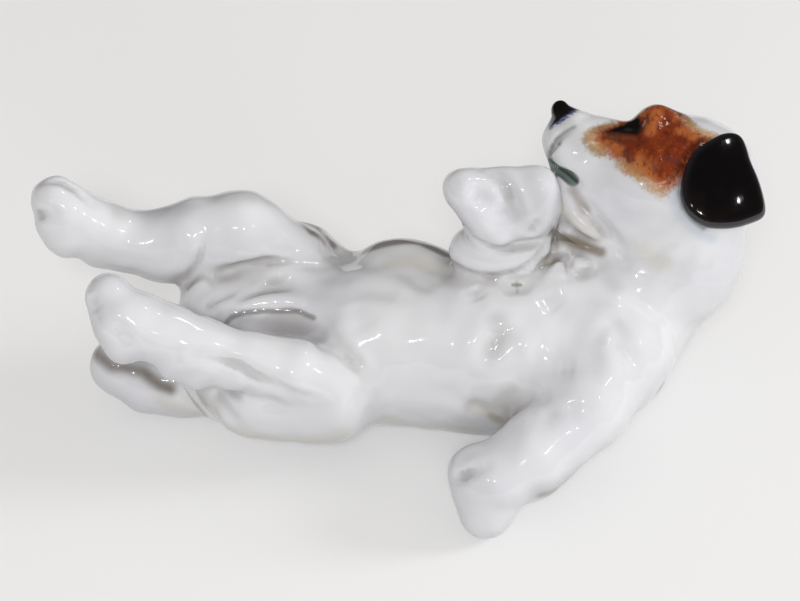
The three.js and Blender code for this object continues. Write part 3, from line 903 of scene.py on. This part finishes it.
glaze = {
    "white": "dfe0e3",
    "cool": "d5d6db",
    # The greys and browns below, all but moss, are painted shade, a painted shadow and a painted warm
    # reflection
    "closed": "b0aeac",
    "deep": "8d867d",
    "beigeShadeAndReflection": "cdc9c0",
    "umberShade": "7d705e",
    "fawnShade": "968d84",
    "duskEdgeShade": "7c7371",
    "sepiaShadow": "5e5343",
    "moss": "837d63",
    "shade": "b2b1b5",
    "veilShade": "b4b3b5",
    "fold": "8d8884",
    "crease": "6f6a66",
    "cloud": (0.35, 0.7),
    "closedNoise": 0.12,
    "roughness": 0.13,
    "ior": 1.5,
    "coat": 0.3,
    "coatRoughness": 0.03,
    "ripple": 0.06,
    "rippleDepth": 0.0004,
}
# Painted shade where the form closes in: low, high and strength of each grey
paintedHollowShade = {"closed": (0.13, 0.58, 0.7), "deep": (0.45, 0.95, 0.7)}
# The brushed tints, mostly painted shade, shadow and warm reflection: unevenness of the edge, low, high and
# strength
tints = {
    "beigeShadeAndReflection": (0.5, 0.1, 1.1, 0.6),
    "shade": (0.3, 0.05, 0.8, 0.75),
    "veilShade": (0.5, 0.1, 1.2, 0.5),
    "fold": (0.4, 0.1, 1.3, 0.55),
    "fawnShade": (0.6, 0.1, 1.1, 0.7),
    "duskEdgeShade": (0.3, 0.05, 0.9, 0.85),
    "sepiaShadow": (0.6, 0.05, 1.4, 1.0),
    "umberShade": (0.4, 0.15, 1.0, 0.85),
    "moss": (0.3, 0.1, 0.8, 0.7),
    "crease": (0.3, 0.1, 0.9, 0.7),
}
paint = {
    "fringe": "ae8662",
    "olive": "7d6a42",
    "orange": "a4562a",
    "glow": "b5632b",
    "rust": "742c12",
    "ember": "43190c",
    "ochre": "b3905f",
    "plum": "5d302a",
    "lid": "6b4c38",
    "glint": "56605a",
    "lashes": "35150b",
    "pupil": "0c0807",
    "inkBlue": "26346e",
    "noseBlack": "0c0807",
    "teal": "72837d",
    "lipLine": "323b37",
    "flewLine": "5b5855",
    "dot": "5b5855",
    "skyShadow": "b7c2d0",
    "earShade": "666a71",
    "relief": 14,
}
# Paint that follows an outline: where it starts and is full, in millimetres inside it, and its strength
layers = {
    "fringe": (-0.7, 0.7, 0.55),
    "orange": (-0.3, 1.5, 0.95),
    "rust": (0.6, 3.0, 0.95),
    "lashes": (-0.8, 0.2, 0.85),
    "pupil": (-0.15, 0.3, 1.0),
    "inkBlue": (-0.7, 0.15, 0.9),
    "noseBlack": (-0.1, 0.6, 1.0),
}
# Dabs with an uneven edge: strength, unevenness, low and high
dabLook = {
    "skyShadow": (0.5, 0.3, 0.05, 1.15),
    "olive": (0.8, 1.1, 0.05, 1.15),
    "ochre": (0.65, 1.1, 0.05, 1.15),
    "glow": (0.6, 1.1, 0.05, 1.15),
    "plum": (0.7, 1.1, 0.05, 1.15),
    "ember": (0.85, 1.1, 0.05, 1.15),
    "teal": (0.92, 0.35, 0.25, 0.6),
}
# Lines and washes laid on smoothly, by strength; unevenness of the outlines; specks in the patch
washes = {"lid": 0.6, "glint": 0.35, "flewLine": 0.6, "dot": 0.7, "earShade": 0.75}
wobbles = {"fine": 2.6, "broad": 2.4, "eye": 0.5, "nose": 1.8}
specks = {"glow": (0.52, 0.7, 0.45), "ember": (0.32, 0.5, 0.6)}
earGlaze = {
    "black": "070506",
    "brown": "170f0e",
    "cloud": (0.4, 0.8),
    # the lighter rim along the flap's edges is a painted highlight
    "rim": "2c2c31",
    "rimHighlightStrength": 0.45,
    "roughness": 0.1,
    "relief": 3,
}
# Noises: cycles to the metre, detail, roughness, stretch
grain = {
    "cloud": (60, 2),
    "blotch": (150, 3),
    "ripple": (420, 1),
    "fine": (1700, 4, 0.7),
    "broad": (380, 3),
    "mottle": (820, 4, 0.7, (1, 0.6, 0.6)),
    "nose": (1500, 2, 0.5, (0.35, 1, 1)),
    "paint": (700, 2),
    "earCloud": (160, 2),
    "earRelief": (240, 2),
}


# White glaze: greyer where the form closes in as painted shade, then brushed tints of painted shade, shadow
# and reflection
def whiteBase(g):
    closed, blotch = g.mask("hollow"), g.noise(*grain["blotch"])
    base = g.mix(g.noise(*grain["cloud"]).ramp(*glaze["cloud"]), hue(glaze["white"]), hue(glaze["cool"]))
    closed = closed + (blotch - 0.5) * glaze["closedNoise"]
    for name, (low, high, strength) in paintedHollowShade.items():
        base = g.mix(closed.ramp(low, high) * strength, base, hue(glaze[name]))
    for name, (rough, low, high, strength) in tints.items():
        shape = (g.mask(name) + (blotch - 0.5) * rough).ramp(low, high)
        base = g.mix(shape * strength, base, hue(glaze[name]))
    return base


# Fine ripple everywhere, with coarser brushed relief where colour lies thick
def glazeSurface(g, base, roughness, relief=None):
    height = g.noise(*grain["ripple"])
    if relief is not None:
        height = height + relief
    bump = g.node("ShaderNodeBump", {
        "Strength": glaze["ripple"], "Distance": glaze["rippleDepth"], "Height": height,
    })
    return g.node("ShaderNodeBsdfPrincipled", {
        "Base Color": base, "Roughness": roughness, "IOR": glaze["ior"],
        "Coat Weight": glaze["coat"], "Coat Roughness": glaze["coatRoughness"], "Normal": bump,
    })


def whiteGlaze():
    g = Graph("white_glaze")
    return g.finish(glazeSurface(g, whiteBase(g), glaze["roughness"]))


def headGlaze():
    g = Graph("painted_glaze")
    base = whiteBase(g)
    fine, broad = g.noise(*grain["fine"]), g.noise(*grain["broad"])

    def dab(name, base):
        strength, rough, low, high = dabLook[name]
        shape = (g.mask(name) + (fine - 0.5) * rough).ramp(low, high) * g.mask(name).ramp(0.02, 0.3)
        return g.mix(shape * strength, base, hue(paint[name]))

    def layer(name, base, inside, kept=None):
        low, high, strength = layers[name]
        cover = inside.ramp(low, high) if kept is None else inside.ramp(low, high) * kept
        return g.mix(cover * strength, base, hue(paint[name]))

    def wash(name, base):
        return g.mix(g.mask(name) * washes[name], base, hue(paint[name]))

    patch = g.mask("patch") + ((fine - 0.5) * wobbles["fine"] + (broad - 0.5) * wobbles["broad"])
    base = dab("skyShadow", base)
    base = layer("fringe", base, patch)
    base = dab("olive", base)
    base = layer("orange", base, patch)
    base = dab("ochre", base)
    base = layer("rust", base, patch, (1 - g.mask("glow").ramp(0, 0.9)) * (1 - g.mask("ochre") * 0.7))
    for name in ("glow", "plum", "ember"):
        base = dab(name, base)
    mottle, inside = g.noise(*grain["mottle"]), patch.ramp(0.2, 1.4)
    low, high, strength = specks["glow"]
    base = g.mix(inside * mottle.ramp(low, high) * strength, base, hue(paint["glow"]))
    low, high, strength = specks["ember"]
    base = g.mix(inside * (1 - mottle.ramp(low, high)) * strength, base, hue(paint["ember"]))
    base = wash("lid", base)
    eye = g.mask("eye") + (fine - 0.5) * wobbles["eye"]
    base = layer("pupil", layer("lashes", base, eye), eye)
    base = wash("glint", base)
    nose = g.mask("nose") + (g.noise(*grain["nose"]) - 0.5) * wobbles["nose"]
    base = layer("noseBlack", layer("inkBlue", base, nose), nose)
    base = dab("teal", base)
    base = g.mix(g.mask("lipLine").ramp(0.2, 0.9) * 0.8, base, hue(paint["lipLine"]))
    for name in ("flewLine", "dot", "earShade"):
        base = wash(name, base)
    relief = patch.ramp(0.2, 1.5) * (g.noise(*grain["paint"]) * paint["relief"])
    return g.finish(glazeSurface(g, base, glaze["roughness"], relief))


# Black glaze with a painted highlight along the flap's edges
def blackGlaze():
    g = Graph("black_glaze")
    cloud = g.noise(*grain["earCloud"]).ramp(*earGlaze["cloud"])
    base = g.mix(cloud, hue(earGlaze["black"]), hue(earGlaze["brown"]))
    base = g.mix(g.mask("rim") * earGlaze["rimHighlightStrength"], base, hue(earGlaze["rim"]))
    relief = g.noise(*grain["earRelief"]) * earGlaze["relief"]
    return g.finish(glazeSurface(g, base, earGlaze["roughness"], relief))


whiteMaterial, headMaterial, blackMaterial = whiteGlaze(), headGlaze(), blackGlaze()


def addPiece(name, mesh, material, field):
    setHollow(mesh, field)
    setFolds(mesh)
    setDabs(mesh, glazeTint)
    if name.startswith("head"):
        setDabs(mesh, headPaint)
        setOutlines(mesh)
    return addObject(name, mesh, material)


seamPlanes = [limb["seam"] for limb in limbs.values()] + [head["seam"]]
torsoMesh = sculpt("torso_glazed", skin, torso, seamPlanes + [restPlane])
fullPieces = {"torso": addPiece("torso_glazed", torsoMesh, whiteMaterial, skin)}
at, outward = head["seam"]
headMesh = sculpt("head_glazed", headSkin, head, [(at, opposite(outward))])
fullPieces["head"] = addPiece("head_glazed", headMesh, headMaterial, headSkin)
for name, limb in limbs.items():
    at, outward = limb["seam"]
    field = limbSkin(name)
    limbMesh = sculpt(name + "_glazed", field, limb, [(at, opposite(outward)), restPlane])
    fullPieces[name] = addPiece(name + "_glazed", limbMesh, whiteMaterial, skin)

# Ear flaps: both have the outline drawn in the frame; the near one's cross-section curves over the cheek,
# the far one lies on the skin
earShape = {
    "outline": [(735, 133), (742, 137), (746, 149), (749, 162), (757, 178), (764, 198), (766, 209), (763, 214),
                (755, 218), (736, 225), (714, 226), (702, 223), (690, 214), (684, 203), (682, 191), (684, 177),
                (689, 162), (697, 150), (713, 140), (724, 134)],
    "left": 10.0,
    "thick": 2.3,
    "edge": 1.2,
    "spread": 0.35,
    "middle": 10.7,
    "bend": (0.028, 0.021),
    "centre": (-4.0, -4.0),
    "rim": 0.5,
    "cell": 0.4,
    "halfSpan": 17,
    "near": (-5, 10, -4),
    "far": {
        "at": (51, 20, 30.5),
        "face": (-0.82, 0.55, 0.1),
        "up": (0.1, -0.03, 0.99),
        "shift": (5.2, 3.6),
        "lift": 0.7,
    },
}


# Two rounds of corner cutting smooth the drawn outline
def earPlane():
    flat = onCheekPlane(earShape["outline"], earShape["left"])[:, [0, 2]]
    for turn in range(2):
        after = np.roll(flat, -1, 0)
        flat = np.stack([flat * 0.75 + after * 0.25, flat * 0.25 + after * 0.75], 1).reshape(-1, 2)
    return flat


earOutline = earPlane()


def inLeftEar(p):
    return inOutline(intoHead(p)[:, [0, 2]], earOutline)


def inRightEar(p):
    far = earShape["far"]
    q = p - np.array(far["at"], np.float32)
    across = q @ np.array(far["face"]) - far["shift"][0]
    upward = q @ np.array(far["up"]) - far["shift"][1]
    return inOutline(np.stack([across, upward], 1), earOutline)


def leftEar(p):
    p = p.astype(np.float32)
    q = intoHead(p)
    across, down = q[:, 0] - earShape["centre"][0], q[:, 2] - earShape["centre"][1]
    middle = earShape["middle"] - earShape["bend"][0] * across ** 2 - earShape["bend"][1] * down ** 2
    flap = np.abs(q[:, 1] - middle) - earShape["thick"] / 2
    return softMax(-inLeftEar(p) - earShape["spread"], flap, earShape["edge"])


def rightEar(p):
    p = p.astype(np.float32)
    body = headOnBody(p, joinAll(p, torso["masses"]))
    flap = np.abs(body - earShape["far"]["lift"] - earShape["thick"] / 2) - earShape["thick"] / 2
    return softMax(-inRightEar(p) - earShape["spread"], flap, earShape["edge"])


def addEar(name, field, inFlap, centre):
    low, high = np.array(centre) - earShape["halfSpan"], np.array(centre) + earShape["halfSpan"]
    points, faces = meshField(field, low, high, earShape["cell"] * coarser)
    mesh = cutPiece(name, points, faces, [], centre)
    shadeBySlope(mesh, field)
    # closeness to the flap's edge, for the painted highlight along it
    setAttribute(mesh, "rim", np.exp(-(inFlap(pointsOf(mesh)) / earShape["rim"]) ** 2))
    piece = addObject(name, mesh, blackMaterial)
    print(name, "has", len(mesh.vertices), "points")
    return piece


earCentre = headCentre + np.array(earShape["near"], np.float32) @ headAxes
fullPieces["left_ear"] = addEar("left_ear_glazed", leftEar, inLeftEar, tuple(earCentre))
fullPieces["right_ear"] = addEar("right_ear_glazed", rightEar, inRightEar, earShape["far"]["at"])

for node, piece in fullPieces.items():
    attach(piece, "root")
    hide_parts(node)

# Studio: one pale floor that throws less light back than it shows, a soft key at the camera, a side lamp,
# and small lamps that only mirror, for the highlights
studio = {
    "halfWidth": 1.5,
    "drop": 0.00005,
    "floor": "c8c8c8",
    "darkFloor": "c2c2c2",
    "floorGlow": 0.3,
    "world": 0.41,
    "mirroredWorld": 0.05,
    "fill": (1.0, 0.965, 0.93),
    "aim": (0, 0, 0.02),
    "lamps": {
        "key": {"at": (-0.04, -0.77, 0.70), "size": 0.2, "watts": 4.2, "mirrored": False},
        "low": {"at": (0.05, -0.80, 0.28), "size": 0.3, "watts": 1.0, "mirrored": False},
        "side": {"at": (0.80, 0.08, 0.36), "size": 0.3, "watts": 3.7, "mirrored": False},
        "flash": {"at": (0.02, -0.72, 0.66), "size": 0.05, "watts": 0.45, "mirrored": True},
        "left": {"at": (-0.31, -0.69, 0.72), "size": 0.045, "watts": 0.3, "mirrored": True},
        "right": {"at": (0.64, -0.43, 0.64), "size": 0.045, "watts": 0.3, "mirrored": True},
        "back": {"at": (0.41, 0.24, 0.88), "size": 0.04, "watts": 0.2, "mirrored": True},
    },
}


def makeFloor():
    g = Graph("floor_paper")
    paper = g.node("ShaderNodeBsdfDiffuse", {"Color": hue(studio["floor"])})
    dark = g.node("ShaderNodeBsdfDiffuse", {"Color": hue(studio["darkFloor"])})
    glow = g.node("ShaderNodeEmission", {"Color": (1, 1, 1, 1), "Strength": studio["floorGlow"]})
    pale = g.node("ShaderNodeAddShader", {0: paper, 1: glow})
    seen = g.node("ShaderNodeLightPath", out="Is Camera Ray")
    for kind in ("Is Glossy Ray", "Is Transmission Ray"):
        seen = g.maths("MAXIMUM", seen, g.node("ShaderNodeLightPath", out=kind))
    mesh = bpy.data.meshes.new("floor")
    half = studio["halfWidth"]
    corners = [(-half, -half, 0), (half, -half, 0), (half, half, 0), (-half, half, 0)]
    mesh.from_pydata(corners, [], [(0, 1, 2, 3)])
    mesh.materials.append(g.finish(g.node("ShaderNodeMixShader", {0: seen, 1: dark, 2: pale})))
    floor = bpy.data.objects.new("floor", mesh)
    floor.location.z = -studio["drop"]
    bpy.context.scene.collection.objects.link(floor)


def makeWorld():
    world = bpy.data.worlds.new("studio")
    world.use_nodes = True
    tree = world.node_tree
    background = tree.nodes["Background"]
    background.inputs["Color"].default_value = (*studio["fill"], 1)
    rays = tree.nodes.new("ShaderNodeLightPath")
    strength = tree.nodes.new("ShaderNodeMix")
    strength.inputs["A"].default_value = studio["world"]
    strength.inputs["B"].default_value = studio["mirroredWorld"]
    tree.links.new(rays.outputs["Is Glossy Ray"], strength.inputs["Factor"])
    tree.links.new(strength.outputs["Result"], background.inputs["Strength"])
    bpy.context.scene.world = world


def makeLamp(name, spec):
    light = bpy.data.lights.new(name, "AREA")
    light.shape = "DISK"
    light.size = spec["size"]
    light.energy = spec["watts"]
    lamp = bpy.data.objects.new(name, light)
    lamp.location = spec["at"]
    aim = Vector(studio["aim"]) - lamp.location
    lamp.rotation_mode = "QUATERNION"
    lamp.rotation_quaternion = aim.to_track_quat("-Z", "Y")
    lamp.visible_glossy = spec["mirrored"]
    lamp.visible_diffuse = not spec["mirrored"]
    bpy.context.scene.collection.objects.link(lamp)


makeFloor()
makeWorld()
for name, spec in studio["lamps"].items():
    makeLamp(name, spec)
bpy.context.scene.view_settings.view_transform = "Standard"
print("studio set")
